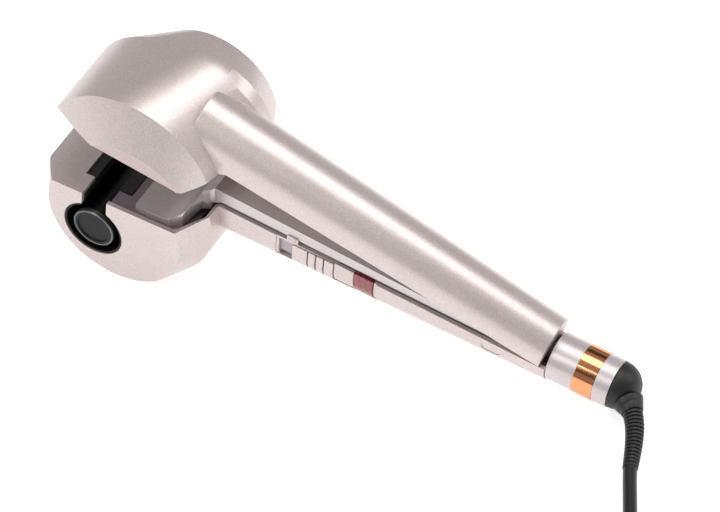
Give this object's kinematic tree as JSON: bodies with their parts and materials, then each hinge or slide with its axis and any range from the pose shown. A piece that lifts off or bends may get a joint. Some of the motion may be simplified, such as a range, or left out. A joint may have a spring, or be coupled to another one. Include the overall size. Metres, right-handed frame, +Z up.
{
  "type": "automatic hair curler",
  "caption": "Clamp-shaped hair curler with a sprung two-jaw rounded head, a geared rotor round a heated barrel, slim handle, slide switch and swivel mains cord.",
  "frame": {"origin": "on the table, below the middle of the device without its cord", "axes": "+X from the head to the tail and cord, +Y to the side away from the barrel mouth, +Z up; the device lies as it rests on a table, on its head and tail"},
  "size_m": [0.4826, 0.1351, 0.1144],
  "materials": {
    "shell_satin": "ABS moulding, satin pearl paint in pale rose-champagne with a fine sparkle",
    "liner_satin": "ABS moulding, satin rose paint a shade darker than the shell",
    "silver_satin": "ABS moulding, satin silver paint with a mauve cast",
    "recess_matt": "ABS moulding, matt mauve-grey",
    "bezel_satin": "ABS moulding, satin mauve",
    "guide_nylon": "glass-filled nylon, dark grey, heat resistant",
    "chamber_nylon": "glass-filled nylon, black, heat resistant",
    "barrel_ceramic": "aluminium tube with a black ceramic coating",
    "barrel_ring_grey": "thin turned aluminium ring, satin grey",
    "heater_ceramic": "sintered alumina, off-white",
    "steel_bright": "plain bright steel",
    "gear_acetal": "acetal, natural white",
    "plate_aluminium": "stamped aluminium sheet",
    "motor_can": "drawn and zinc plated steel can",
    "board_green": "glass epoxy board with green solder mask",
    "black_parts": "black moulded component bodies",
    "lead_sheath": "silicone sheathed leads, brown",
    "lens_red": "polycarbonate, translucent red, polished",
    "led_clear": "clear epoxy",
    "ring_copper": "ABS ring, copper coloured plating, polished",
    "arm_nylon": "glass-filled nylon, dark grey",
    "boot_rubber": "soft PVC, matt black",
    "cord_pvc": "PVC sheath, matt black",
    "pin_nickel": "nickel plated brass pins"
  },
  "bodies": {
    "base": {"lower_shell": "shell_satin", "side_plug": "shell_satin", "recess_floor": "recess_matt", "slot_guide": "guide_nylon", "front_liner": "chamber_nylon", "rear_liner": "chamber_nylon", "barrel": "barrel_ceramic", "barrel_cap": "chamber_nylon", "barrel_ring": "barrel_ring_grey", "heater_core": "heater_ceramic", "heater_clips": "steel_bright", "barrel_screws": "steel_bright", "thermal_fuse": "heater_ceramic", "idler_pins": "steel_bright", "near_plate": "plate_aluminium", "far_plate": "plate_aluminium", "motor": "motor_can", "motor_screws": "steel_bright", "inner_cover": "silver_satin", "mark_plate": "shell_satin", "main_board": "board_green", "hall_sensor": "black_parts", "buzzer": "black_parts", "power_board": "board_green", "supply_leads": "lead_sheath", "case_screws": "steel_bright", "switch_bezel": "bezel_satin", "slide_switch": "black_parts", "indicator_lens": "lens_red", "indicator_led": "led_clear", "tail_near": "silver_satin", "tail_far": "silver_satin", "tail_ring": "ring_copper", "hinge_pin": "steel_bright", "hinge_spring": "steel_bright"},
    "upper_jaw": {"upper_shell": "shell_satin", "upper_liner": "liner_satin", "slot_closer": "guide_nylon", "hinge_arm": "arm_nylon", "jaw_magnet": "steel_bright", "magnet_post": "arm_nylon", "arm_screws": "steel_bright"},
    "rotor": {"rotor_ring": "chamber_nylon", "hair_hook": "chamber_nylon"},
    "idler_a": {"idler_a_gear": "gear_acetal"},
    "idler_b": {"idler_b_gear": "gear_acetal"},
    "drive": {"drive_gear": "gear_acetal", "motor_shaft": "steel_bright"},
    "knob": {"slide_knob": "shell_satin"},
    "swivel": {"swivel_boot": "boot_rubber", "strain_relief": "boot_rubber", "cord_tube": "cord_pvc", "cord_coil": "cord_pvc", "plug_lead": "cord_pvc", "plug_body": "cord_pvc", "plug_pins": "pin_nickel"}
  },
  "joints": [
    {"name": "jaw_hinge", "type": "hinge", "parent": "base", "child": "upper_jaw", "pos_m": [0.11191, 0, 0.0191], "axis": [0, -1, 0], "range_deg": [0, 8.8], "stiffness_Nm_per_rad": 0.5, "springref_deg": -20.05},
    {"name": "power_slide", "type": "slide", "parent": "base", "child": "knob", "axis": [-0.9878, 0, 0.1558], "range_m": [0, 0.0043]},
    {"name": "rotor_spin", "type": "hinge", "parent": "base", "child": "rotor", "pos_m": [-0.12301, 0, 0.02902], "axis": [0, 1, 0], "continuous": true},
    {"name": "idler_a_spin", "type": "hinge", "parent": "base", "child": "idler_a", "pos_m": [-0.09892, 0, 0.0364], "axis": [0, 1, 0], "continuous": true},
    {"name": "idler_b_spin", "type": "hinge", "parent": "base", "child": "idler_b", "pos_m": [-0.10236, 0, 0.01457], "axis": [0, 1, 0], "continuous": true},
    {"name": "drive_spin", "type": "hinge", "parent": "base", "child": "drive", "pos_m": [-0.09151, 0, 0.02405], "axis": [0, 1, 0], "continuous": true},
    {"name": "cord_swivel", "type": "hinge", "parent": "base", "child": "swivel", "pos_m": [0.14093, 0, 0.01179], "axis": [-0.9878, 0, 0.1558], "range_deg": [0, 85]}
  ],
  "couplings": [
    {"joint": "idler_a_spin", "follows": "rotor_spin", "ratio": -3},
    {"joint": "idler_b_spin", "follows": "rotor_spin", "ratio": -3},
    {"joint": "drive_spin", "follows": "rotor_spin", "ratio": 2.3333}
  ]
}
